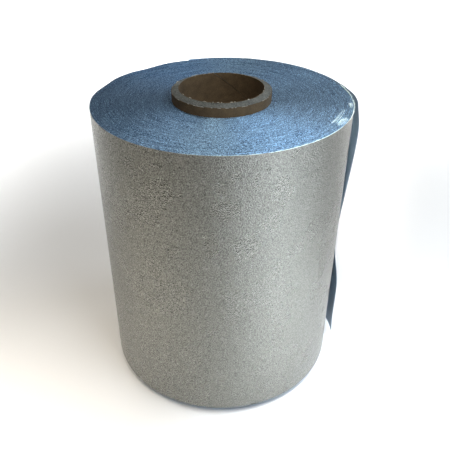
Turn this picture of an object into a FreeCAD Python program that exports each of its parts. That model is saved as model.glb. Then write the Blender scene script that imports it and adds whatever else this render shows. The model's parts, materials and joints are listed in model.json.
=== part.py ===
import FreeCAD, Part
import math
import os

# A wide log of foil tape, standing on end with its axis on +Z. The tape is one laminate:
# metal foil outside, an adhesive coat, and a release liner inside. It is wound on a paper
# core, and the last quarter of the outermost turn has sprung loose and stands away.
# The origin is the centre of the core's lower end. Lengths are millimetres.

# Core: a paper tube of thin plies glued one over the other, longer than the web.
CORE_BORE_R = 38.1            # a standard 76.2 mm (3 in) bore
FACING_PLY = 0.5              # brown kraft paper, on the inside and on the outside
BOARD_PLY = 0.6               # grey board between the facings
BOARD_PLIES = 10
CORE_STUB = 10.0              # how far the core stands out of the web at each end
RIM_STEP = 0.2                # each ply ends this much below the one inside it, at the worn top rim

# Web: the wound tape.
WEB_WIDTH = 280.0
WEB_R = 117.2                 # outside of the outermost wound turn
FOIL = 0.05
ADHESIVE = 0.05
LINER = 0.10
LAMINATE = FOIL + ADHESIVE + LINER

# Strip of double-sided tape that holds the first turn on the core.
START_TAPE = 0.2              # thickness
START_TAPE_DEG = 32.0         # how far it reaches round the core
START_TAPE_END_GAP = 12.0     # bare core left at each end of the strip

# Tail: the loose end of the tape. It leaves the roll at the back and comes round to the
# right-hand side on a wider circle that is nearly tangent to the roll.
TAIL_START_DEG = 98.0         # where it leaves the roll, from +X towards +Y
TAIL_SECTION_DEG = 33.5       # arc of one section
TAIL_SECTIONS = ("root", "middle", "end")
TAIL_SPREAD = 6.5             # how much wider the tail's circle is than the roll
TAIL_CLEARANCE = 0.3          # air under the tail where it leaves the roll, and between sections

CORE_R = CORE_BORE_R + 2 * FACING_PLY + BOARD_PLIES * BOARD_PLY
CORE_LENGTH = WEB_WIDTH + 2 * CORE_STUB
WEB_BOTTOM = CORE_STUB
WEB_TOP = CORE_STUB + WEB_WIDTH
TAIL_R = WEB_R + TAIL_CLEARANCE + TAIL_SPREAD
AXIS = FreeCAD.Vector(0, 0, 0)
UP = FreeCAD.Vector(0, 0, 1)


def save(name, shape):
    """Writes one piece to its own file, once it is a sound closed solid."""
    if not shape.isValid() or len(shape.Solids) != 1:
        raise ValueError(name + " is not one valid solid")
    shape.exportStep("parts/" + name + ".step")
    print(name, round(shape.Volume, 1))


def on_circle(centre, radius, degrees, height):
    angle = math.radians(degrees)
    return centre + FreeCAD.Vector(radius * math.cos(angle), radius * math.sin(angle), height)


def tube(inner_r, outer_r, bottom, top):
    """A full ring of material round the roll's axis."""
    base = FreeCAD.Vector(0, 0, bottom)
    outside = Part.makeCylinder(outer_r, top - bottom, base, UP)
    inside = Part.makeCylinder(inner_r, top - bottom, base, UP)
    return outside.cut(inside)


def curved_strip(centre, inner_r, outer_r, start_deg, end_deg, bottom, top):
    """A strip of even thickness that follows part of a circle round a centre."""
    middle_deg = (start_deg + end_deg) / 2

    def arc(radius):
        points = [on_circle(centre, radius, a, bottom) for a in (start_deg, middle_deg, end_deg)]
        return Part.Arc(*points).toShape()

    def end(degrees):
        return Part.makeLine(on_circle(centre, inner_r, degrees, bottom),
                             on_circle(centre, outer_r, degrees, bottom))

    outline = Part.Wire([arc(outer_r), end(end_deg), arc(inner_r), end(start_deg)])
    return Part.Face(outline).extrude(UP * (top - bottom))


def core_plies():
    """Name, thickness of each ply of the core, from the bore outwards."""
    boards = [("core_board_ply_%02d" % (i + 1), BOARD_PLY) for i in range(BOARD_PLIES)]
    return [("core_inner_facing", FACING_PLY)] + boards + [("core_outer_facing", FACING_PLY)]


def make_core():
    radius = CORE_BORE_R
    for step, (name, thickness) in enumerate(core_plies()):
        save(name, tube(radius, radius + thickness, 0, CORE_LENGTH - step * RIM_STEP))
        radius += thickness


def start_tape():
    half = START_TAPE_DEG / 2
    return curved_strip(AXIS, CORE_R, CORE_R + START_TAPE, -half, half,
                        WEB_BOTTOM + START_TAPE_END_GAP, WEB_TOP - START_TAPE_END_GAP)


def wound_turns():
    """All the turns between the core and the outermost one, as one solid ring."""
    return tube(CORE_R, WEB_R - LAMINATE, WEB_BOTTOM, WEB_TOP).cut(start_tape())


def layers(outer_r):
    """Name, inner and outer radius of each layer of the tape, from the foil inwards."""
    for name, thickness in (("foil", FOIL), ("adhesive", ADHESIVE), ("liner", LINER)):
        yield name, outer_r - thickness, outer_r
        outer_r -= thickness


def make_outer_turn():
    for layer, inner_r, outer_r in layers(WEB_R):
        save("outer_turn_" + layer, tube(inner_r, outer_r, WEB_BOTTOM, WEB_TOP))


def tail_centre():
    """The tail's circle is moved off the axis so that it meets the roll where the tail starts."""
    return on_circle(AXIS, -TAIL_SPREAD, TAIL_START_DEG, 0)


def make_tail():
    """Three sections of the tail. Each swings out on the outer edge of the one before it."""
    gap_deg = math.degrees(TAIL_CLEARANCE / TAIL_R)
    for i, section in enumerate(TAIL_SECTIONS):
        start = TAIL_START_DEG - i * TAIL_SECTION_DEG
        hinge = on_circle(tail_centre(), TAIL_R, start, 0)
        print("hinge of tail_" + section, [round(v, 4) for v in (hinge.x, hinge.y)])
        for layer, inner_r, outer_r in layers(TAIL_R):
            save("tail_" + section + "_" + layer,
                 curved_strip(tail_centre(), inner_r, outer_r, start - TAIL_SECTION_DEG,
                              start - gap_deg, WEB_BOTTOM, WEB_TOP))


os.makedirs("parts", exist_ok=True)
make_core()
save("start_tape", start_tape())
save("wound_turns", wound_turns())
make_outer_turn()
make_tail()
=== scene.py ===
"""A log of foil tape on a paper core, with its loose end standing away from the roll.

The tape is tin-plated copper foil, an acrylic adhesive coat and a blue release liner. Every
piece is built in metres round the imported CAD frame, whose boxes give the sizes used here.
"""

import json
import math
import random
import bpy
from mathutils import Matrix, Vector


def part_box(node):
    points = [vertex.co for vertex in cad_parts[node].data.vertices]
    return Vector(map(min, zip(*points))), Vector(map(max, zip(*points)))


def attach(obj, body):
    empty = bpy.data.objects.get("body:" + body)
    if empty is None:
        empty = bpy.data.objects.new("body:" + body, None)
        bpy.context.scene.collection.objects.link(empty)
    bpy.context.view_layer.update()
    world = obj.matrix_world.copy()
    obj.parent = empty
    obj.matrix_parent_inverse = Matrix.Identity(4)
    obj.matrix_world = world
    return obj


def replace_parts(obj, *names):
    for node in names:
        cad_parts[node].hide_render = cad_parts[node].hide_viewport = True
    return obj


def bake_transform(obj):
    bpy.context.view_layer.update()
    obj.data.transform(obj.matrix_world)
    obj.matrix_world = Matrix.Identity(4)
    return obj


bl_info = {
    "name": "Foil tape roll",
    "version": (1, 0, 0),
    "blender": (4, 5, 0),
    "location": "3D View > Sidebar > Foil tape",
    "description": "Builds a wound log of foil tape, its paper core and its loose end",
    "category": "Add Mesh",
}

import bmesh
import bpy
from bpy.props import FloatProperty, FloatVectorProperty, IntProperty, PointerProperty
from mathutils import Matrix, Vector, noise

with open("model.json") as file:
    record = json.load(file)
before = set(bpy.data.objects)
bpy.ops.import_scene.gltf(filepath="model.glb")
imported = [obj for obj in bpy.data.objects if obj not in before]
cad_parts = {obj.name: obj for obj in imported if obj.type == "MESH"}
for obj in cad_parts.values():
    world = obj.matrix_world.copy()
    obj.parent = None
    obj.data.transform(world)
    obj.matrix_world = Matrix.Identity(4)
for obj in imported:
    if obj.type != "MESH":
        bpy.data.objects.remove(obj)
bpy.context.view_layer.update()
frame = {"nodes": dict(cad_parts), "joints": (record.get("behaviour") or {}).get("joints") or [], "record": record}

MM = 0.001
FULL_TURN = 2 * math.pi
WEB_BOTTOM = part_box("outer_turn_foil")[0].z
WEB_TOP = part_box("outer_turn_foil")[1].z
WEB_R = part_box("outer_turn_foil")[1].x
ADHESIVE_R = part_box("outer_turn_adhesive")[1].x
LINER_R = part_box("outer_turn_liner")[1].x
BULK_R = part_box("wound_turns")[1].x
FOIL = WEB_R - ADHESIVE_R
ADHESIVE = ADHESIVE_R - LINER_R
LINER = LINER_R - BULK_R
LAMINATE = WEB_R - BULK_R
CORE_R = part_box("core_outer_facing")[1].x
BORE_R = frame["record"]["mounts"][0]["dims"]["r_mm"] * MM
CORE_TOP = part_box("core_inner_facing")[1].z
HINGE = {joint["child"]: Vector(joint["pos_m"]) for joint in frame["joints"]}
PLIES = [n for n in frame["record"]["behaviour"]["bodies"]["roll"] if n.startswith("core_")]


def angle_of(point):
    return math.atan2(point.y, point.x)


# The tail runs clockwise, seen from above, from where it leaves the roll to its free edge.
TAIL_START = angle_of(HINGE["tail_root"])
TAIL_END = math.atan2(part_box("tail_end_foil")[0].y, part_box("tail_end_foil")[1].x)
TAIL_LENGTH = WEB_R * (TAIL_START - TAIL_END)


# ---------------------------------------------------------------- sizes and colours

def linear(code):
    """The linear colour of an sRGB hex code."""
    channels = [int(code[i:i + 2], 16) / 255 for i in (1, 3, 5)]
    return [c / 12.92 if c <= 0.04045 else ((c + 0.055) / 1.055) ** 2.4 for c in channels]


def length(name, description, millimetres):
    return FloatProperty(name=name, description=description, default=millimetres * MM,
                         unit="LENGTH", precision=5)


def colour(name, description, code):
    return FloatVectorProperty(name=name, description=description, default=linear(code),
                               subtype="COLOR", size=3, min=0, max=1)


class FoilRollSizes(bpy.types.PropertyGroup):
    turn_pitch: length("Turn pitch", "Width of one bundle of turns on the end faces", 0.45)
    turn_relief: length("Turn relief", "How unevenly the bundles stand on the end faces", 0.09)
    telescoping: length("Telescoping", "Slow rise and fall of the end faces", 0.25)
    grain: length("Foil grain", "Pitch of the foil's orange-peel grain", 2.0)
    wrap_waves: length("Wrap waves", "Height of the long waves in the outermost turn", 0.30)
    burr: length("Slitting burr", "How far the outermost turn's cut edge stands up", 1.5)
    ply_lead: length("Ply lead", "Rise of a core ply's seam in one turn", 172.0)
    ply_gap: length("Ply gap", "Open width of a core ply's butt seam", 0.7)
    raised_edges: IntProperty(name="Raised edges", default=110, min=0,
                              description="Arcs of tape that stand above the top end face")
    fray_flakes: IntProperty(name="Frayed flakes", default=70, min=0,
                             description="Torn paper flakes on the core's rim")


class FoilRollColours(bpy.types.PropertyGroup):
    foil: colour("Foil", "Tin plating on the copper foil", "#82827c")
    liner: colour("Liner", "Blue release film", "#86a2bf")
    liner_edge: colour("Liner edge", "Cut edges of the blue film", "#1b3a5c")
    # pale cyan-white: painted highlight on the slit lip and the pulled-up turns
    film_highlight: colour("Stretched film", "Film edges whitened by stretching", "#e2f7f6")
    # pale cyan: the cut foil edges in a painted glint colour
    foil_edge_glint: colour("Foil edge", "Cut edges of the foil", "#b2daf9")
    adhesive: colour("Adhesive", "Acrylic adhesive", "#8d897c")
    kraft: colour("Kraft", "Brown kraft facing paper", "#4d3f2c")
    board: colour("Board", "Grey core board", "#5c5e5a")
    torn: colour("Torn paper", "Pale fibres where the core's paper is torn", "#a8a396")
    tissue: colour("Tissue", "Double-sided tissue tape", "#d8d4c6")
    floor: colour("Floor", "Pale studio floor", "#f2f2f1")


def sizes():
    return bpy.context.scene.foil_roll_sizes


def colours():
    return bpy.context.scene.foil_roll_colours


# ---------------------------------------------------------------- materials

def add(tree, kind, sockets=None, **settings):
    """Adds a node, with its settings, and its sockets set to values or linked."""
    node = tree.nodes.new(kind)
    for name, value in settings.items():
        setattr(node, name, value)
    for key, value in (sockets or {}).items():
        if isinstance(value, bpy.types.NodeSocket):
            tree.links.new(value, node.inputs[key])
        else:
            node.inputs[key].default_value = value
    return node


def new_material(name):
    """An empty material with its output node, and its tree."""
    material = bpy.data.materials.new(name)
    material.use_nodes = True
    material.node_tree.nodes.clear()
    return material, material.node_tree


def close_material(material, tree, surface):
    add(tree, "ShaderNodeOutputMaterial", {"Surface": surface.outputs["BSDF"]})
    return material


def rgba(value):
    return (*value, 1.0)


def place(tree):
    """The point on the piece, in metres, in the frame of the roll."""
    return add(tree, "ShaderNodeTexCoord").outputs["Object"]


def flattened(tree, point):
    """The point moved down to the floor, so that its height doesn't count."""
    return add(tree, "ShaderNodeVectorMath", {0: point, 1: (1, 1, 0)},
               operation="MULTIPLY").outputs[0]


def facing(tree, point, side):
    """How far a point's heading from the roll's axis turns towards a side, from -1 to 1."""
    heading = add(tree, "ShaderNodeVectorMath", {0: flattened(tree, point)},
                  operation="NORMALIZE")
    return add(tree, "ShaderNodeVectorMath", {0: heading.outputs[0], 1: side},
               operation="DOT_PRODUCT").outputs["Value"]


def round_the_axis(tree, around, outward):
    """A point that changes slowly round the roll and quickly away from its axis."""
    flat = flattened(tree, place(tree))
    radius = add(tree, "ShaderNodeVectorMath", {0: flat}, operation="LENGTH")
    heading = add(tree, "ShaderNodeVectorMath", {0: flat}, operation="NORMALIZE")
    ring = add(tree, "ShaderNodeVectorMath", {0: heading.outputs[0], "Scale": around},
               operation="SCALE")
    depth = add(tree, "ShaderNodeMath", {0: radius.outputs["Value"], 1: outward},
                operation="MULTIPLY")
    lifted = add(tree, "ShaderNodeCombineXYZ", {"Z": depth.outputs[0]})
    return add(tree, "ShaderNodeVectorMath", {0: ring.outputs[0], 1: lifted.outputs[0]},
               operation="ADD").outputs[0]


GRAIN_SHADE_SIDE = (-0.87, -0.5, 0)     # one of two opposite sides where the grain carries deeper painted shade
GRAIN_SHADE_DEPTH = 1.7                   # light and dark in the grain, painted shade of its relief; twice this on those sides


def tinned_foil():
    """Tin-plated copper foil, rolled and then wound tight over adhesive: matte silver with a
    warm cast. The adhesive's lumps print through it as a fine orange-peel grain, whose tone
    is painted highlight on its crests and painted shade in its hollows. This painted shade is
    deeper on two opposite sides, the front-left and the back-right."""
    material, tree = new_material("tinned_copper_foil_orange_peel")
    point = place(tree)
    peel = add(tree, "ShaderNodeTexNoise", {"Vector": point, "Scale": 2 / sizes().grain,
                                            "Detail": 1.0})
    lumps = add(tree, "ShaderNodeTexNoise", {"Vector": point, "Scale": 0.6 / sizes().grain,
                                             "Detail": 1.0})
    height = add(tree, "ShaderNodeMath", {0: lumps.outputs["Fac"], 1: 0.5,
                                          2: peel.outputs["Fac"]}, operation="MULTIPLY_ADD")
    bump = add(tree, "ShaderNodeBump", {"Strength": 1.0, "Distance": 0.7 * MM,
                                        "Height": height.outputs[0]})
    # painted shade: the grain's light and dark is deepened towards the front-left and back-right
    pressed = facing(tree, point, GRAIN_SHADE_SIDE)
    squared = add(tree, "ShaderNodeMath", {0: pressed, 1: pressed}, operation="MULTIPLY")
    depth = add(tree, "ShaderNodeMath", {0: squared.outputs[0], 1: GRAIN_SHADE_DEPTH,
                                         2: GRAIN_SHADE_DEPTH}, operation="MULTIPLY_ADD")
    centred = add(tree, "ShaderNodeMath", {0: peel.outputs["Fac"], 1: 0.5},
                  operation="SUBTRACT")
    grain_tone_and_shade = add(tree, "ShaderNodeMath", {0: centred.outputs[0], 1: depth.outputs[0], 2: 1.0},
                operation="MULTIPLY_ADD")
    clouds = add(tree, "ShaderNodeTexNoise", {"Vector": point, "Scale": 1 / 0.035,
                                              "Detail": 3.0})
    rough = add(tree, "ShaderNodeMapRange", {"Value": clouds.outputs["Fac"], "From Min": 0.3,
                                             "From Max": 0.7, "To Min": 0.25, "To Max": 0.31})
    # foil colour times the grain's tone: its own grain with painted highlight and painted shade
    tint = add(tree, "ShaderNodeVectorMath", {0: colours().foil, "Scale": grain_tone_and_shade.outputs[0]},
               operation="SCALE")
    surface = add(tree, "ShaderNodeBsdfPrincipled",
                  {"Base Color": tint.outputs[0], "Metallic": 1.0,
                   "Roughness": rough.outputs[0], "Normal": bump.outputs[0]})
    return close_material(material, tree, surface)


def even_share(tree, fac, spread):
    """Turns a noise into a factor that varies by a spread either side of one."""
    return add(tree, "ShaderNodeMapRange", {"Value": fac, "From Min": 0.3, "From Max": 0.7,
                                            "To Min": 1 - spread, "To Max": 1 + spread},
               clamp=False).outputs[0]


SHEEN_SIDE = (0.7071, -0.7071, 0)  # where the end face carries a painted sheen
PAINTED_SHEEN_SHARE = 0.38                 # how much brighter the painted sheen makes it there


def wound_edges():
    """The slit end of the wound tape: hundreds of blue film edges with bright foil edges between
    them. It shines in two wedges, as a record does. Its colour carries painted glints in rings
    and specks, pale cyan, and a painted sheen that makes it brighter on the front-right side
    and darker on the back-left. The turns are 0.2 mm apart, too fine to show, so the rings are drawn about 1 mm
    apart."""
    material, tree = new_material("slit_edges_of_blue_film_and_foil")
    rings = add(tree, "ShaderNodeTexNoise", {"Vector": round_the_axis(tree, 4.0, 1 / 0.0011),
                                             "Scale": 1.0, "Detail": 2.0, "Roughness": 0.6})
    glints = add(tree, "ShaderNodeTexNoise", {"Vector": round_the_axis(tree, 45.0, 1 / 0.0008),
                                              "Scale": 1.0, "Detail": 1.0})
    specks = add(tree, "ShaderNodeTexNoise", {"Vector": place(tree), "Scale": 1 / 0.0009,
                                              "Detail": 1.0})
    # painted glints: pale specks and ring streaks over the real foil and film edges
    ringed = add(tree, "ShaderNodeMath", {0: even_share(tree, rings.outputs["Fac"], 0.4),
                                          1: even_share(tree, glints.outputs["Fac"], 0.6)},
                 operation="MULTIPLY")
    edges_and_painted_glints = add(tree, "ShaderNodeMath", {0: ringed.outputs[0],
                                           1: even_share(tree, specks.outputs["Fac"], 1.2)},
                  operation="MULTIPLY")
    # painted sheen: brighter towards the front-right, darker towards the back-left
    painted_sheen = add(tree, "ShaderNodeMath", {0: facing(tree, place(tree), SHEEN_SIDE),
                                          1: PAINTED_SHEEN_SHARE, 2: 1.0}, operation="MULTIPLY_ADD")
    edges_glints_and_sheen = add(tree, "ShaderNodeMath", {0: edges_and_painted_glints.outputs[0], 1: painted_sheen.outputs[0]},
                operation="MULTIPLY")
    metal = add(tree, "ShaderNodeMapRange", {"Value": edges_glints_and_sheen.outputs[0], "From Min": 0.0,
                                             "From Max": 3.0})
    tint = add(tree, "ShaderNodeMix", {"Factor": metal.outputs[0],
                                       6: rgba(colours().liner_edge),
                                       7: rgba(colours().foil_edge_glint)}, data_type="RGBA")
    height = add(tree, "ShaderNodeMath", {0: specks.outputs["Fac"], 1: 0.6,
                                          2: rings.outputs["Fac"]}, operation="MULTIPLY_ADD")
    bump = add(tree, "ShaderNodeBump", {"Strength": 1.0, "Distance": 0.45 * MM,
                                        "Height": height.outputs[0]})
    surface = add(tree, "ShaderNodeBsdfPrincipled",
                  {"Base Color": tint.outputs[2], "Metallic": 0.85, "Roughness": 0.5,
                   "Normal": bump.outputs[0], "Anisotropic": 0.85,
                   "Anisotropic Rotation": 0.25})
    tangent = add(tree, "ShaderNodeTangent", direction_type="RADIAL", axis="Z")
    tree.links.new(tangent.outputs[0], surface.inputs["Tangent"])
    return close_material(material, tree, surface)


def release_film():
    """Blue silicone-coated release film: an even colour with a soft gloss, and faint marks
    where the foil's grain pressed into it."""
    material, tree = new_material("blue_release_film")
    point = place(tree)
    grain = add(tree, "ShaderNodeTexNoise", {"Vector": point, "Scale": 0.8 / sizes().grain,
                                             "Detail": 2.0})
    haze = add(tree, "ShaderNodeTexNoise", {"Vector": point, "Scale": 1 / 0.05, "Detail": 3.0})
    tint = add(tree, "ShaderNodeMix", {"Factor": haze.outputs["Fac"],
                                       6: rgba([c * 0.85 for c in colours().liner]),
                                       7: rgba([min(1, c * 1.2) for c in colours().liner])},
               data_type="RGBA")
    bump = add(tree, "ShaderNodeBump", {"Strength": 0.3, "Distance": 0.15 * MM,
                                        "Height": grain.outputs["Fac"]})
    surface = add(tree, "ShaderNodeBsdfPrincipled",
                  {"Base Color": tint.outputs[2], "Roughness": 0.38, "IOR": 1.5,
                   "Normal": bump.outputs[0], "Coat Weight": 0.25, "Coat Roughness": 0.2})
    return close_material(material, tree, surface)


def painted_highlight_film():
    """Blue film with a pale cyan-white painted highlight, in streaks round the roll; it keeps
    the film's gloss."""
    material, tree = new_material("blue_film_with_painted_highlight")
    streaks = add(tree, "ShaderNodeTexNoise", {"Vector": round_the_axis(tree, 60.0, 900.0),
                                               "Scale": 1.0, "Detail": 2.0})
    pale = add(tree, "ShaderNodeMapRange", {"Value": streaks.outputs["Fac"], "From Min": 0.25,
                                            "From Max": 0.45})
    tint = add(tree, "ShaderNodeMix", {"Factor": pale.outputs[0],
                                       6: rgba(colours().liner),
                                       7: rgba(colours().film_highlight)}, data_type="RGBA")
    surface = add(tree, "ShaderNodeBsdfPrincipled",
                  {"Base Color": tint.outputs[2], "Roughness": 0.3, "IOR": 1.5})
    return close_material(material, tree, surface)


def acrylic_adhesive():
    """Acrylic adhesive: a pale, slightly cloudy and tacky coat."""
    material, tree = new_material("acrylic_adhesive_coat")
    cloud = add(tree, "ShaderNodeTexNoise", {"Vector": place(tree), "Scale": 1 / 0.004,
                                             "Detail": 2.0})
    tint = add(tree, "ShaderNodeMix", {"Factor": cloud.outputs["Fac"],
                                       6: rgba(colours().adhesive),
                                       7: rgba([c * 0.8 for c in colours().adhesive])},
               data_type="RGBA")
    bump = add(tree, "ShaderNodeBump", {"Strength": 0.3, "Distance": 0.05 * MM,
                                        "Height": cloud.outputs["Fac"]})
    surface = add(tree, "ShaderNodeBsdfPrincipled",
                  {"Base Color": tint.outputs[2], "Roughness": 0.35, "IOR": 1.47,
                   "Normal": bump.outputs[0]})
    return close_material(material, tree, surface)


def paper(name, base, dark, light, fibre):
    """Pulp paper: matte, with a felted grain, darker flecks and paler fibres."""
    material, tree = new_material(name)
    point = place(tree)
    felt = add(tree, "ShaderNodeTexNoise", {"Vector": point, "Scale": 1 / fibre, "Detail": 3.0,
                                            "Roughness": 0.65, "Distortion": 0.4})
    blots = add(tree, "ShaderNodeTexNoise", {"Vector": point, "Scale": 0.12 / fibre,
                                             "Detail": 2.0})
    both = add(tree, "ShaderNodeMath", {0: blots.outputs["Fac"], 1: 0.5,
                                        2: felt.outputs["Fac"]}, operation="MULTIPLY_ADD")
    ramp = add(tree, "ShaderNodeValToRGB", {"Fac": both.outputs[0]})
    ramp.color_ramp.elements[0].position = 0.55
    ramp.color_ramp.elements[0].color = rgba([c * dark for c in base])
    ramp.color_ramp.elements[1].position = 0.98
    ramp.color_ramp.elements[1].color = rgba([min(1, c * light) for c in base])
    bump = add(tree, "ShaderNodeBump", {"Strength": 0.8, "Distance": 0.25 * MM,
                                        "Height": both.outputs[0]})
    surface = add(tree, "ShaderNodeBsdfPrincipled",
                  {"Base Color": ramp.outputs["Color"], "Roughness": 0.88,
                   "Specular IOR Level": 0.3, "Normal": bump.outputs[0]})
    return close_material(material, tree, surface)


def studio_floor():
    """Seamless studio paper: pale and matte, with a very faint mottle."""
    material, tree = new_material("seamless_studio_paper")
    mottle = add(tree, "ShaderNodeTexNoise", {"Vector": place(tree), "Scale": 2.0})
    tint = add(tree, "ShaderNodeMix", {"Factor": mottle.outputs["Fac"],
                                       6: rgba(colours().floor),
                                       7: rgba([c * 0.985 for c in colours().floor])},
               data_type="RGBA")
    surface = add(tree, "ShaderNodeBsdfPrincipled",
                  {"Base Color": tint.outputs[2], "Roughness": 0.9})
    return close_material(material, tree, surface)


FINISHES = {
    "tinned_foil": tinned_foil,
    "wound_edge": wound_edges,
    "release_liner": release_film,
    "adhesive": acrylic_adhesive,
    "painted_highlight_film": painted_highlight_film,
    "torn_paper": lambda: paper("torn_paper_fibres", colours().torn, 0.6, 1.3, 0.8 * MM),
    "kraft_facing": lambda: paper("brown_kraft_paper", colours().kraft, 0.62, 1.25, 0.8 * MM),
    "core_board": lambda: paper("grey_core_board", colours().board, 0.45, 1.35, 1.3 * MM),
    "start_tape": lambda: paper("tissue_tape", colours().tissue, 0.85, 1.05, 0.6 * MM),
}
made_finishes = {}


def finish_for(slot):
    """The material of one of the record's slots, made once."""
    if slot not in made_finishes:
        made_finishes[slot] = FINISHES[slot]()
    return made_finishes[slot]


# ---------------------------------------------------------------- mesh helpers

def new_piece(name, bm, slot, sharp=math.radians(40), finish=None):
    """Turns a finished bmesh into a piece of the roll with that slot's material, unless it
    has a finish of its own."""
    mesh = bpy.data.meshes.new(name)
    bm.to_mesh(mesh)
    bm.free()
    mesh.shade_smooth()
    mesh.set_sharp_from_angle(angle=sharp)
    piece = bpy.data.objects.new(name, mesh)
    bpy.context.scene.collection.objects.link(piece)
    mesh.materials.append(finish_for(finish or slot))
    return piece


def repaint(node, slot):
    """Gives a CAD node that stays in view the material of its slot."""
    mesh = frame["nodes"][node].data
    mesh.materials.clear()
    mesh.materials.append(finish_for(slot))


def outline(bm, points, closed=False):
    """A chain of edges through (radius, height) points, in the XZ plane."""
    verts = [bm.verts.new((r, 0, z)) for r, z in points]
    pairs = list(zip(verts, verts[1:]))
    if closed:
        pairs.append((verts[-1], verts[0]))
    edges = [bm.edges.new(pair) for pair in pairs]
    return verts + edges


def turn(bm, geometry, angle=FULL_TURN, steps=96, rise=0.0):
    """Sweeps geometry round the roll's axis, rising as it goes if a rise is given."""
    bmesh.ops.spin(bm, geom=geometry, cent=(0, 0, 0), axis=(0, 0, 1), angle=angle, steps=steps,
                   dvec=(0, 0, rise / steps), use_merge=angle == FULL_TURN and rise == 0)
    bmesh.ops.recalc_face_normals(bm, faces=bm.faces)


def sweep_from(heading, geometry):
    """Moves a fresh outline round the roll to where its sweep begins, and gives its points."""
    verts = [g for g in geometry if isinstance(g, bmesh.types.BMVert)]
    for vert in verts:
        vert.co = Matrix.Rotation(heading, 3, "Z") @ vert.co
    return verts


def part_turn(bm, geometry, angle, steps):
    """Sweeps geometry part of the way round the roll's axis."""
    bmesh.ops.spin(bm, geom=geometry, cent=(0, 0, 0), axis=(0, 0, 1), dvec=(0, 0, 0),
                   angle=angle, steps=steps, use_merge=False)


def face_outwards(bm):
    """Makes an open sheet face away from the roll's axis."""
    bmesh.ops.recalc_face_normals(bm, faces=bm.faces)
    outward = sum(f.normal.dot(f.calc_center_median() * Vector((1, 1, 0))) for f in bm.faces)
    if outward < 0:
        bmesh.ops.reverse_faces(bm, faces=bm.faces)


def thicken(bm, thickness):
    """Gives open sheets a wall, once their faces agree."""
    bmesh.ops.recalc_face_normals(bm, faces=bm.faces)
    bmesh.ops.solidify(bm, geom=bm.faces[:], thickness=thickness)


def around(angle, winding, level=0.0, shift=0.0):
    """Smooth noise that closes on itself round the roll."""
    return noise.noise(Vector((math.cos(angle) * winding + shift,
                               math.sin(angle) * winding - shift, level)))


def smoothstep(low, high, value):
    t = min(1.0, max(0.0, (value - low) / (high - low)))
    return t * t * (3 - 2 * t)


def through(points, x):
    """A smooth curve through a few (x, y) points, with a slope at each point that follows
    its neighbours."""
    if x <= points[0][0]:
        return points[0][1]
    if x >= points[-1][0]:
        return points[-1][1]
    i = next(k for k in range(1, len(points)) if x <= points[k][0]) - 1
    (x0, y0), (x1, y1) = points[i], points[i + 1]
    before = points[max(i - 1, 0)]
    after = points[min(i + 2, len(points) - 1)]
    span = x1 - x0
    slope0 = (y1 - before[1]) / (x1 - before[0]) * span
    slope1 = (after[1] - y0) / (after[0] - x0) * span
    t = (x - x0) / span
    return ((2 * t ** 3 - 3 * t * t + 1) * y0 + (t ** 3 - 2 * t * t + t) * slope0
            + (3 * t * t - 2 * t ** 3) * y1 + (t ** 3 - t * t) * slope1)


def set_polar(vert, radius, angle, height):
    vert.co = (radius * math.cos(angle), radius * math.sin(angle), height)


# ---------------------------------------------------------------- core

PLY_STEPS = 150           # steps in one turn of a ply's helix
PLY_DIVISIONS = 8         # across a ply's width
RIM_TEAR = 0.22 * MM      # how unevenly the plies end at the top rim
RIM_WEAR = 0.05 * MM      # how much the rim has worn down
RIM_FLARE = 0.002         # how far the rim's plies have parted, as a share of their radius


def wind_ply(name, inner_r, outer_r, top, start, slot):
    """One ply of the core: a strip wound in a helix, so that its edges leave a narrow seam."""
    lead = sizes().ply_lead
    bm = bmesh.new()
    turns = math.ceil(top / lead) + 1.0
    width = lead - sizes().ply_gap
    line = outline(bm, [(outer_r, -lead + width * i / PLY_DIVISIONS)
                        for i in range(PLY_DIVISIONS + 1)])
    sweep_from(start, line)
    turn(bm, line, angle=FULL_TURN * turns, steps=int(PLY_STEPS * turns), rise=lead * turns)
    for height, direction in ((0.0, -1), (top, 1)):
        bmesh.ops.bisect_plane(bm, geom=bm.verts[:] + bm.edges[:] + bm.faces[:],
                               plane_co=(0, 0, height), plane_no=(0, 0, direction),
                               clear_outer=True)
    seed = inner_r / MM
    for vert in bm.verts:
        if vert.co.z > top - 0.01 * MM:
            angle = angle_of(vert.co)
            tear = around(angle, 9.0, seed) + 0.6 * around(angle, 31.0, seed, 4.0)
            vert.co.z += RIM_TEAR * tear - RIM_WEAR
            flare = 1 + RIM_FLARE * around(angle, 14.0, seed, 9.0)
            vert.co.x *= flare
            vert.co.y *= flare
    face_outwards(bm)
    bmesh.ops.solidify(bm, geom=bm.faces[:], thickness=outer_r - inner_r)
    return new_piece(name, bm, slot)


SEAM_HEADING = 101.0      # where the seam of the innermost ply reaches the top rim, in degrees
SEAM_SPACING = 97.0       # how much further round each next ply's seam is
FLAKE_THICKNESS = 0.09 * MM


class FOILROLL_OT_core_plies(bpy.types.Operator):
    """Wind the core's paper plies, each a helical strip"""
    bl_idname = "foil_roll.core_plies"
    bl_label = "Core plies"

    def execute(self, context):
        inner_r = BORE_R
        for i, node in enumerate(PLIES):
            outer_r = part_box(node)[1].x
            slot = "core_board" if "board" in node else "kraft_facing"
            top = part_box(node)[1].z
            seam = math.radians(SEAM_HEADING + SEAM_SPACING * i)
            start = seam - FULL_TURN * (top + sizes().ply_lead) / sizes().ply_lead
            ply = wind_ply("wound_" + node, inner_r, outer_r, top, start, slot)
            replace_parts(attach(ply, "roll"), node)
            inner_r = outer_r
        return {"FINISHED"}


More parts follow.
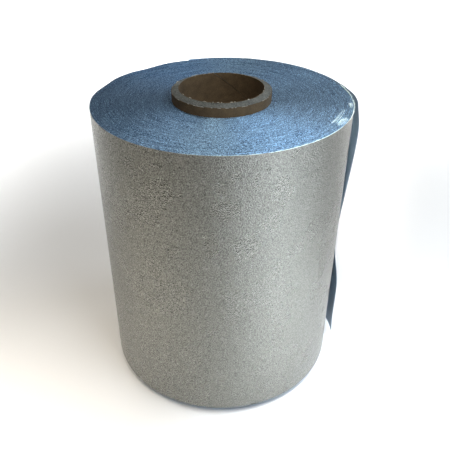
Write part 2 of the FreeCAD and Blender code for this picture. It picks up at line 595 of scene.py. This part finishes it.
class FOILROLL_OT_frayed_rim(bpy.types.Operator):
    """Add torn paper flakes along the core's top rim"""
    bl_idname = "foil_roll.frayed_rim"
    bl_label = "Frayed rim"

    def execute(self, context):
        draw = random.Random(5)
        bm = bmesh.new()
        for _ in range(sizes().fray_flakes):
            angle = draw.uniform(0, FULL_TURN)
            outside = draw.random() < 0.7
            radius = CORE_R - 0.1 * MM if outside else BORE_R + 0.25 * MM
            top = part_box("core_outer_facing" if outside else "core_inner_facing")[1].z
            flake = bmesh.ops.create_grid(bm, x_segments=4, y_segments=2, size=0.5)["verts"]
            long, tall = draw.uniform(1.2, 3.8) * MM, draw.uniform(0.35, 0.9) * MM
            lean = draw.uniform(0.1, 0.7) * (1 if outside else -1)
            for vert in flake:
                x, y = vert.co.x, vert.co.y + 0.5
                taper = 1 - 1.4 * abs(x)
                at = angle + x * long / radius
                set_polar(vert, radius + lean * y * tall * taper, at,
                          top + (y * taper - 0.35) * tall)
        thicken(bm, FLAKE_THICKNESS)
        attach(new_piece("frayed_rim_flakes", bm, "kraft_facing", finish="torn_paper"),
                "roll")
        return {"FINISHED"}


class FOILROLL_OT_start_tape(bpy.types.Operator):
    """Finish the hidden tape that holds the first turn"""
    bl_idname = "foil_roll.start_tape"
    bl_label = "Start tape"

    def execute(self, context):
        repaint("start_tape", "start_tape")
        return {"FINISHED"}


# ---------------------------------------------------------------- wound web

FIRST_TURNS_DROP = 0.9 * MM    # how much lower the turns next to the core sit


def end_height(radius):
    """Slow rise and fall of an end face, from turns that wandered while winding. The first
    turns, next to the core, sit a little lower."""
    share = (radius - CORE_R) / (WEB_R - CORE_R)
    wander = noise.noise(Vector((share * 5.0, 2.3, 0.7)))
    dish = FIRST_TURNS_DROP * (1 - smoothstep(0.0, 0.16, share))
    return sizes().telescoping * (wander - 0.2 * share) - dish


# How far the top of the outermost turns has sunk, in millimetres, by heading in degrees: the
# roll was knocked at the back and on the left.
RIM_SINK = ((92, 0.0), (106, 1.0), (120, 1.2), (131, 2.3), (143, 1.3), (152, 1.1), (162, 2.0),
            (172, 0.9), (180, 0.0))


def rim_sink(angle, radius):
    """How much lower the top end face is here, because of the knocked rim."""
    heading = math.degrees(angle) % 360
    return through(RIM_SINK, heading) * MM * smoothstep(0.84, 1.0, radius / WEB_R)


def web_profile(draw):
    """Closed outline of the web: its top end with every bundle of turns, and a plainer one
    underneath."""
    pitch = sizes().turn_pitch
    count = int((BULK_R - CORE_R) / pitch)
    top = []
    for i in range(count + 1):
        radius = CORE_R + (BULK_R - CORE_R) * i / count
        top.append((radius, WEB_TOP + end_height(radius) + draw.uniform(-1, 1)
                    * sizes().turn_relief))
    bottom = []
    for i in range(count // 2 + 1):
        radius = BULK_R - (BULK_R - CORE_R) * i / (count // 2)
        bottom.append((radius, WEB_BOTTOM - end_height(radius) * 0.6
                       + draw.uniform(-1, 1) * sizes().turn_relief))
    return top + bottom


class FOILROLL_OT_wound_web(bpy.types.Operator):
    """Wind the web, with the cut edges of its turns on both end faces"""
    bl_idname = "foil_roll.wound_web"
    bl_label = "Wound web"

    def execute(self, context):
        bm = bmesh.new()
        turn(bm, outline(bm, web_profile(random.Random(11)), closed=True), steps=288)
        for vert in bm.verts:
            radius = vert.co.to_2d().length
            ripple = around(angle_of(vert.co), 3.0, radius * 900)
            vert.co.z += sizes().turn_relief * 0.9 * ripple * (1 if vert.co.z > 0.1 else 0.5)
            if vert.co.z > 0.1:
                vert.co.z -= rim_sink(angle_of(vert.co), radius)
        web = new_piece("wound_web", bm, "wound_edge", sharp=math.radians(60))
        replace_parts(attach(web, "roll"), "wound_turns")
        return {"FINISHED"}


RAISED_EDGE_STEP = 2.2         # degrees between the points along a raised edge


def raise_edge(bm, radius, start, sweep, height, lean):
    """One arc of tape edge that stands above the end face and sinks back at both ends."""
    base = WEB_TOP + end_height(radius) - 0.25 * MM
    line = outline(bm, [(radius, base), (radius, base + 0.1 * MM)])
    before = set(bm.verts)
    steps = max(6, int(math.degrees(sweep) / RAISED_EDGE_STEP))
    verts = sweep_from(start, line)
    part_turn(bm, line, sweep, steps)
    new = [v for v in bm.verts if v not in before] + verts
    for vert in new:
        along = ((angle_of(vert.co) - start) % FULL_TURN) / sweep
        swell = math.sin(math.pi * min(1.0, max(0.0, along))) ** 0.6
        if vert.co.z > base + 0.05 * MM:
            vert.co.z = base + 0.25 * MM * swell + height * swell
            stretch = 1 + lean * swell * height / radius
            vert.co.x *= stretch
            vert.co.y *= stretch
        vert.co.z -= rim_sink(angle_of(vert.co), radius)


# Turns that were pulled up near the rim, where the tape was last unwound: how far in from the
# outer face, the headings where each starts and ends, in degrees, and its height. Distances
# are in millimetres.
PULLED_TURNS = (
    (7.9, -32.0, -14.0, 0.9), (9.5, -32.5, -15.0, 0.8), (10.6, -34.0, -18.0, 0.7),
    (1.6, -32.0, -24.0, 1.1), (2.7, -33.0, -23.5, 1.2), (3.8, -34.0, -23.0, 1.2),
    (4.9, -34.0, -24.0, 1.1), (6.0, -33.0, -25.0, 0.9),
    (2.0, -13.0, -6.0, 0.9), (3.2, -12.5, -6.5, 1.0), (4.4, -11.0, -6.0, 0.8),
)
PULLED_STRETCH = 1.15          # how much taller the pulled-up film stands once stretched
RAISED_THICKNESS = 0.12 * MM   # thinner than a whole turn


class FOILROLL_OT_raised_edges(bpy.types.Operator):
    """Stand some turns a little proud of the top end face"""
    bl_idname = "foil_roll.raised_edges"
    bl_label = "Raised edges"

    def execute(self, context):
        draw = random.Random(23)
        bm = bmesh.new()
        for _ in range(sizes().raised_edges):
            radius = CORE_R + (BULK_R - CORE_R) * math.sqrt(draw.uniform(0.01, 0.98))
            raise_edge(bm, radius, draw.uniform(0, FULL_TURN),
                       math.radians(draw.uniform(8, 46)), draw.uniform(0.08, 0.3) * MM,
                       draw.uniform(-0.6, 0.6))
        thicken(bm, RAISED_THICKNESS)
        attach(new_piece("raised_turn_edges", bm, "wound_edge"), "roll")

        bm = bmesh.new()
        for inset, first, last, height in PULLED_TURNS:
            raise_edge(bm, WEB_R - inset * MM, math.radians(first), math.radians(last - first),
                       height * PULLED_STRETCH * MM, 0.5)
        thicken(bm, LAMINATE)
        # blue film with a painted highlight along the pulled-up turns
        pulled = new_piece("pulled_up_turns", bm, "release_liner", finish="painted_highlight_film")
        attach(pulled, "roll")
        return {"FINISHED"}


# ---------------------------------------------------------------- outermost turn and tail

# Small wrinkles and pimples in the outermost turn, where the foil stands up over a fold or
# over grit: heading in degrees, height above the web's bottom, length round the roll, width,
# and how far it stands up. Distances are in millimetres.
WRINKLES = (
    (-55.0, 252.0, 19.0, 1.5, 0.90),
    (-57.0, 244.5, 8.0, 1.3, 0.70),
    (-66.0, 238.0, 6.0, 1.3, 0.45),
    (-43.0, 221.0, 2.4, 2.2, 0.80),
    (-51.7, 224.0, 3.0, 1.6, 0.60),
)


def wrinkle_height(angle, height):
    """How far the foil of the outermost turn stands up at a wrinkle."""
    proud = 0.0
    for heading, level, long, wide, high in WRINKLES:
        along = (angle - math.radians(heading)) * WEB_R / (long * MM / 2)
        across = (height - WEB_BOTTOM - level * MM - along * MM) / (wide * MM / 2)
        proud += high * MM * math.exp(-along * along - across * across)
    return proud


def wrap_relief(angle, height):
    """Long shallow waves of the outermost turn. They only stand outwards."""
    waves = around(angle, 2.6, height * 9) * 0.7 + around(angle, 7.0, height * 16, 5.0) * 0.3
    return sizes().wrap_waves * (0.5 + waves) * 0.6


FOIL_ROWS = 104                # rows of faces up the foil, which shows
HIDDEN_ROWS = 8                # and up the layers under it


def wrap_layer(inner_r, outer_r, rows):
    """One layer of the outermost turn, with its top edge sunk where the rim was knocked."""
    bm = bmesh.new()
    tall = WEB_TOP - WEB_BOTTOM
    points = [(outer_r, WEB_BOTTOM + tall * i / rows) for i in range(rows + 1)]
    points += [(inner_r, WEB_TOP), (inner_r, WEB_BOTTOM)]
    turn(bm, outline(bm, points, closed=True), steps=360)
    for vert in bm.verts:
        if vert.co.z > WEB_TOP - 0.1 * MM:
            vert.co.z -= rim_sink(angle_of(vert.co), WEB_R)
    return bm


LIP_FLARE = 0.9                # how far the slit lip leans out, as a share of its height
LIP_ENDS = (-118, 16)          # headings where the lip starts and ends, in degrees
LIP_FOOT = 0.4 * MM            # how far below the web's top the lip starts
BURR_PEAK = -30                # heading where the burr is tallest, in degrees
BURR_REACH = 44                # how far to either side of it the burr stays tall, in degrees


def burr_height(angle):
    """The slitter's burr: a lip on the cut edge, tallest at the front and right."""
    tall = math.exp(-((angle - math.radians(BURR_PEAK)) / math.radians(BURR_REACH)) ** 2)
    return sizes().burr * tall * (0.65 + 0.9 * around(angle, 16.0, 1.0)
                                  + 0.8 * around(angle, 60.0, 3.0))


class FOILROLL_OT_outer_turn(bpy.types.Operator):
    """Wrap the outermost turn: its foil, its adhesive and its liner"""
    bl_idname = "foil_roll.outer_turn"
    bl_label = "Outer turn"

    def execute(self, context):
        bm = wrap_layer(ADHESIVE_R, WEB_R, FOIL_ROWS)
        near = [e for e in bm.edges
                if wrinkle_height(angle_of(e.verts[0].co), e.verts[0].co.z) > 0.004 * MM
                and e.verts[0].co.to_2d().length > WEB_R - 0.01 * MM]
        bmesh.ops.subdivide_edges(bm, edges=near, cuts=2, use_grid_fill=True)
        for vert in bm.verts:
            angle = angle_of(vert.co)
            if vert.co.to_2d().length > (WEB_R + ADHESIVE_R) / 2:
                radius = WEB_R + wrap_relief(angle, vert.co.z) + wrinkle_height(angle, vert.co.z)
                set_polar(vert, radius, angle, vert.co.z)
        bmesh.ops.recalc_face_normals(bm, faces=bm.faces)
        wraps = (("foil", bm, "tinned_foil"),
                 ("adhesive", wrap_layer(LINER_R, ADHESIVE_R, HIDDEN_ROWS), "adhesive"),
                 ("liner", wrap_layer(BULK_R, LINER_R, HIDDEN_ROWS), "release_liner"))
        for layer, layer_bm, slot in wraps:
            wrap = new_piece(f"outer_turn_{layer}_wrap", layer_bm, slot)
            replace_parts(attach(wrap, "roll"), f"outer_turn_{layer}")
        return {"FINISHED"}


class FOILROLL_OT_slit_lip(bpy.types.Operator):
    """Turn out the lip that the slitter left on the outermost turn's cut edge"""
    bl_idname = "foil_roll.slit_lip"
    bl_label = "Slit lip"

    def execute(self, context):
        bm = bmesh.new()
        start, end = (math.radians(heading) for heading in LIP_ENDS)
        foot = WEB_TOP - LIP_FOOT
        line = outline(bm, [(WEB_R - LAMINATE / 2, foot + 0.2 * MM * i) for i in range(4)])
        sweep_from(start, line)
        part_turn(bm, line, end - start, 300)
        for vert in bm.verts:
            angle = angle_of(vert.co)
            share = (vert.co.z - foot) / (0.6 * MM)
            high = max(0.0, burr_height(angle)) * smoothstep(start, start + 0.3, angle)
            radius = WEB_R - LAMINATE / 2 + high * LIP_FLARE * share * share
            set_polar(vert, radius, angle, foot + (0.38 * MM + high) * share)
        thicken(bm, LINER)
        # blue film with a painted highlight along the lip
        lip = new_piece("slit_lip", bm, "release_liner", finish="painted_highlight_film")
        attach(lip, "roll")
        return {"FINISHED"}


# How far the tail stands off the roll, in millimetres. Along its free edge, by height above
# the web's bottom; and along its length, as a share of the free edge's stand-off.
FREE_EDGE_STANDOFF = ((0, 10.1), (12, 9.4), (24, 8.9), (30, 8.9), (45, 9.0), (72, 8.5),
                      (90, 6.2), (110, 2.6), (130, 0.6), (150, 1.2), (190, 4.4), (220, 6.7),
                      (246, 8.1), (260, 7.6), (270, 5.9), (280, 4.1))
TOP_EDGE_OPENING = ((0.0, 0.0), (0.2, 0.2), (0.4, 0.33), (0.72, 0.33), (0.76, 0.37),
                    (0.80, 0.52), (0.85, 0.68), (0.90, 0.95), (1.0, 1.0))
LOWER_OPENING = ((0.0, 0.0), (0.45, 0.04), (0.65, 0.22), (0.82, 0.62), (1.0, 1.0))
EDGE_SKEW = 0.02               # the free edge was cut askew: how much shorter the tail is below
ROOT_SINK = 0.45               # how deep the tail's start is tucked in, in millimetres
TOP_EDGE_LIFT = 0.4 * MM       # how far the top edge has crept up along the tail


def tail_standoff(share, height):
    """Gap between the tail and the roll, share of the way from its start to its free edge."""
    above = (height - WEB_BOTTOM) / MM
    edge = through(FREE_EDGE_STANDOFF, above)
    upper = smoothstep(190, 262, above)
    opening = (through(TOP_EDGE_OPENING, share) * upper
               + through(LOWER_OPENING, share) * (1 - upper))
    sink = ROOT_SINK * smoothstep(0.0, -0.08, share)
    return (edge * opening - sink) * MM


def tail_point(share, height, inward):
    """A point of the tail, inward of its outer face."""
    full = 1 - EDGE_SKEW * (WEB_TOP - height) / (WEB_TOP - WEB_BOTTOM)
    angle = TAIL_START + (TAIL_END - TAIL_START) * share * full
    proud = smoothstep(0.0, 0.1, share) * (1 - smoothstep(0.7, 0.9, share))
    ripple = 0.5 + 0.5 * noise.noise(Vector((share * 9.0, 3.1, 0.0)))
    lift = TOP_EDGE_LIFT * proud * ripple * smoothstep(WEB_TOP - 30 * MM, WEB_TOP, height)
    radius = (WEB_R + LAMINATE + wrap_relief(angle, height)
              + tail_standoff(share, height) - inward)
    return radius * math.cos(angle), radius * math.sin(angle), height + lift


# Each piece of the tail crosses one hinge: its name, the hinge's two bodies, and the shares of
# the tail where it begins and ends. The pieces meet half way between hinges.
TAIL_PIECES = (
    ("root", "roll", "tail_root", -0.09, 1 / 6),
    ("middle", "tail_root", "tail_middle", 1 / 6, 1 / 2),
    ("end", "tail_middle", "tail_end", 1 / 2, 1.0),
)
TAIL_COLUMN = 2.2 * MM         # width of the tail's faces along its length
TAIL_ROWS = 96


def tail_sheet(name, slot, first, last, inward, thickness):
    """One layer of one piece of the tail, as a thin closed sheet."""
    bm = bmesh.new()
    columns = int((last - first) * TAIL_LENGTH / TAIL_COLUMN)
    bmesh.ops.create_grid(bm, x_segments=columns, y_segments=TAIL_ROWS, size=0.5)
    for vert in bm.verts:
        share = first + (last - first) * (vert.co.x + 0.5)
        height = WEB_BOTTOM + (WEB_TOP - WEB_BOTTOM) * (vert.co.y + 0.5)
        vert.co = tail_point(share, height, inward)
    face_outwards(bm)
    bmesh.ops.solidify(bm, geom=bm.faces[:], thickness=thickness)
    return new_piece(name, bm, slot)


class FOILROLL_OT_tail(bpy.types.Operator):
    """Bend the loose end of the tape out from the roll, in pieces that meet between its hinges"""
    bl_idname = "foil_roll.tail"
    bl_label = "Loose end"

    def execute(self, context):
        layers = (("foil", "tinned_foil", 0.0, FOIL), ("adhesive", "adhesive", FOIL, ADHESIVE),
                  ("liner", "release_liner", FOIL + ADHESIVE, LINER))
        for section, inner_body, outer_body, first, last in TAIL_PIECES:
            for layer, slot, inward, thickness in layers:
                sheet = tail_sheet(f"tail_{layer}_at_{section}", slot, first, last, inward,
                                   thickness)
                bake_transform(sheet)
                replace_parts(sheet, f"tail_{section}_{layer}")
        return {"FINISHED"}


# ---------------------------------------------------------------- stage

def softbox(name, location, aim, wide, tall, power, tint="#ffffff", spread=180):
    """A softbox that faces a point. A smaller spread, in degrees, keeps its light in a beam."""
    light = bpy.data.lights.new(name, "AREA")
    light.shape = "RECTANGLE"
    light.size = wide
    light.size_y = tall
    light.energy = power
    light.color = linear(tint)
    light.spread = math.radians(spread)
    lamp = bpy.data.objects.new(name, light)
    bpy.context.scene.collection.objects.link(lamp)
    lamp.location = location
    lamp.rotation_euler = (Vector(location) - Vector(aim)).to_track_quat("Z", "Y").to_euler()
    lamp.visible_camera = False
    return lamp


def heading_vector(heading, elevation=0.0):
    """Heading 0 is at the front, and 90 on the right. Both angles are in degrees."""
    turn_by, rise = math.radians(heading), math.radians(elevation)
    return Vector((math.sin(turn_by) * math.cos(rise), -math.cos(turn_by) * math.cos(rise),
                   math.sin(rise)))


# Softboxes round the roll: name, heading, elevation, distance, width, height, power, tint.
# Distances are in metres and powers in watts.
ROUND_LIGHTS = (
    ("window", 50, 50, 0.8, 0.65, 0.45, 4.7, "#eef6ff"),
    ("low_window", 47, 2, 1.5, 1.0, 0.55, 15.0, "#e9f3ff"),
    ("side", 130, 2, 1.5, 0.55, 0.55, 6.4, "#ffffff"),
    ("high_side", 100, 38, 1.5, 0.55, 0.55, 6.0, "#eef6ff"),
    ("high_front", -14, 56, 1.5, 0.30, 0.55, 9.4, "#fff3e0"),
    ("rear_left", -150, 56, 1.5, 0.55, 0.55, 3.5, "#f8fbff"),
    ("rear_right", 150, 38, 1.5, 0.55, 0.55, 1.6, "#f8fbff"),
)
# Softboxes that face the floor and keep off the roll, so that the foil mirrors a bright floor:
# name, heading, distance from the axis, height, width, depth, power, spread, tint.
FLOOR_LIGHTS = (
    ("floor_left", -70, 0.55, 0.55, 0.4, 0.4, 0.45, 50, "#fff3e2"),
    ("floor_near_left", -50, 0.32, 0.55, 0.25, 0.25, 0.23, 50, "#fff3e2"),
    ("floor_near_right", 50, 0.32, 0.55, 0.25, 0.25, 0.80, 50, "#eef6ff"),
    ("floor_far_left", -126, 0.68, 0.60, 0.25, 0.5, 0.5, 50, "#ffffff"),
    ("backdrop", 180, 1.35, 1.10, 2.2, 1.3, 17.0, 50, "#ffffff"),
)

# The floor is a disc, set back so that it fills the view behind the roll. The pale backdrop
# takes over beyond it.
FLOOR_R = 1.4
FLOOR_BACK = 0.75

# Camera: its distance and height as multiples of the roll's radius, its tilt in degrees, and
# its lens and sensor in millimetres.
CAMERA_BACK = 4.18462
CAMERA_UP = 3.98084
CAMERA_TILT = 33.49
CAMERA_LENS = 45.39
CAMERA_SENSOR = 36.0
CAMERA_SHIFT = 0.0075


ROOM_TINT = "#8f8b84"
ROOM_STRENGTH = 0.05


def studio_world():
    """Dim grey surroundings for the foil to mirror, with a pale backdrop behind the roll."""
    world = bpy.data.worlds.new("studio_surroundings")
    bpy.context.scene.world = world
    world.use_nodes = True
    tree = world.node_tree
    tree.nodes.clear()
    room = add(tree, "ShaderNodeBackground", {"Color": rgba(linear(ROOM_TINT)),
                                              "Strength": ROOM_STRENGTH})
    backdrop = add(tree, "ShaderNodeBackground", {"Color": rgba(linear("#ffffff")),
                                                  "Strength": 1.0})
    seen = add(tree, "ShaderNodeLightPath").outputs["Is Camera Ray"]
    mixed = add(tree, "ShaderNodeMixShader", {0: seen, 1: room.outputs[0],
                                              2: backdrop.outputs[0]})
    add(tree, "ShaderNodeOutputWorld", {"Surface": mixed.outputs[0]})


def set_camera(scene):
    """Looks down at the roll from the front."""
    data = bpy.data.cameras.new("camera")
    data.lens = CAMERA_LENS
    data.sensor_width = CAMERA_SENSOR
    data.shift_x = CAMERA_SHIFT
    camera = bpy.data.objects.new("camera", data)
    scene.collection.objects.link(camera)
    camera.location = (0, -CAMERA_BACK * WEB_R, WEB_BOTTOM + CAMERA_UP * WEB_R)
    camera.rotation_euler = (math.radians(90 - CAMERA_TILT), 0, 0)
    scene.camera = camera
    scene.view_settings.view_transform = "Standard"


def set_lights():
    """Hangs the softboxes, and a narrow beam for the gap inside the loose end."""
    middle = Vector((0, 0, (WEB_BOTTOM + WEB_TOP) / 2))
    for name, heading, elevation, distance, wide, tall, power, tint in ROUND_LIGHTS:
        softbox(name, middle + heading_vector(heading, elevation) * distance, middle, wide,
                tall, power, tint)
    for name, heading, distance, height, wide, deep, power, spread, tint in FLOOR_LIGHTS:
        at = heading_vector(heading) * distance
        lamp = softbox(name, at + Vector((0, 0, height)), at, wide, deep, power, tint, spread)
        lamp.rotation_euler = (0, 0, 0)
    softbox("far_floor", (0, 2.2, 1.2), (0, 2.2, 0), 1.0, 0.6, 3.1)
    gap = Vector((WEB_R + 10 * MM, 0, middle.z + 60 * MM))
    softbox("gap_light", gap + heading_vector(-14, 30) * 0.6, gap, 0.08, 0.2, 0.08, "#fff6e6",
            12)


def lay_floor(scene):
    """Lays the floor under the roll."""
    bm = bmesh.new()
    bmesh.ops.create_circle(bm, cap_ends=True, segments=96, radius=FLOOR_R)
    mesh = bpy.data.meshes.new("floor")
    bm.to_mesh(mesh)
    bm.free()
    floor = bpy.data.objects.new("floor", mesh)
    floor.location = (0, FLOOR_BACK, 0)
    scene.collection.objects.link(floor)
    mesh.materials.append(studio_floor())


class FOILROLL_OT_stage(bpy.types.Operator):
    """Set up the camera, the lights and the floor"""
    bl_idname = "foil_roll.stage"
    bl_label = "Stage"

    def execute(self, context):
        set_camera(context.scene)
        set_lights()
        studio_world()
        lay_floor(context.scene)
        return {"FINISHED"}


# ---------------------------------------------------------------- add-on

OPERATORS = (
    FOILROLL_OT_stage,
    FOILROLL_OT_core_plies,
    FOILROLL_OT_frayed_rim,
    FOILROLL_OT_start_tape,
    FOILROLL_OT_wound_web,
    FOILROLL_OT_raised_edges,
    FOILROLL_OT_outer_turn,
    FOILROLL_OT_slit_lip,
    FOILROLL_OT_tail,
)


class FOILROLL_PT_sidebar(bpy.types.Panel):
    """Buttons and sizes for the foil tape roll"""
    bl_idname = "FOILROLL_PT_sidebar"
    bl_label = "Foil tape roll"
    bl_space_type = "VIEW_3D"
    bl_region_type = "UI"
    bl_category = "Foil tape"

    def draw(self, context):
        for operator in OPERATORS:
            self.layout.operator(operator.bl_idname)
        for group in (context.scene.foil_roll_sizes, context.scene.foil_roll_colours):
            for name in group.__annotations__:
                self.layout.prop(group, name)


CLASSES = (FoilRollSizes, FoilRollColours, *OPERATORS, FOILROLL_PT_sidebar)


def register():
    for cls in CLASSES:
        bpy.utils.register_class(cls)
    bpy.types.Scene.foil_roll_sizes = PointerProperty(type=FoilRollSizes)
    bpy.types.Scene.foil_roll_colours = PointerProperty(type=FoilRollColours)


def unregister():
    del bpy.types.Scene.foil_roll_colours
    del bpy.types.Scene.foil_roll_sizes
    for cls in reversed(CLASSES):
        bpy.utils.unregister_class(cls)


def main():
    register()
    bpy.ops.foil_roll.stage()
    bpy.ops.foil_roll.core_plies()
    bpy.ops.foil_roll.frayed_rim()
    bpy.ops.foil_roll.start_tape()
    bpy.ops.foil_roll.wound_web()
    bpy.ops.foil_roll.raised_edges()
    bpy.ops.foil_roll.outer_turn()
    bpy.ops.foil_roll.slit_lip()
    bpy.ops.foil_roll.tail()


if __name__ == "__main__":
    main()
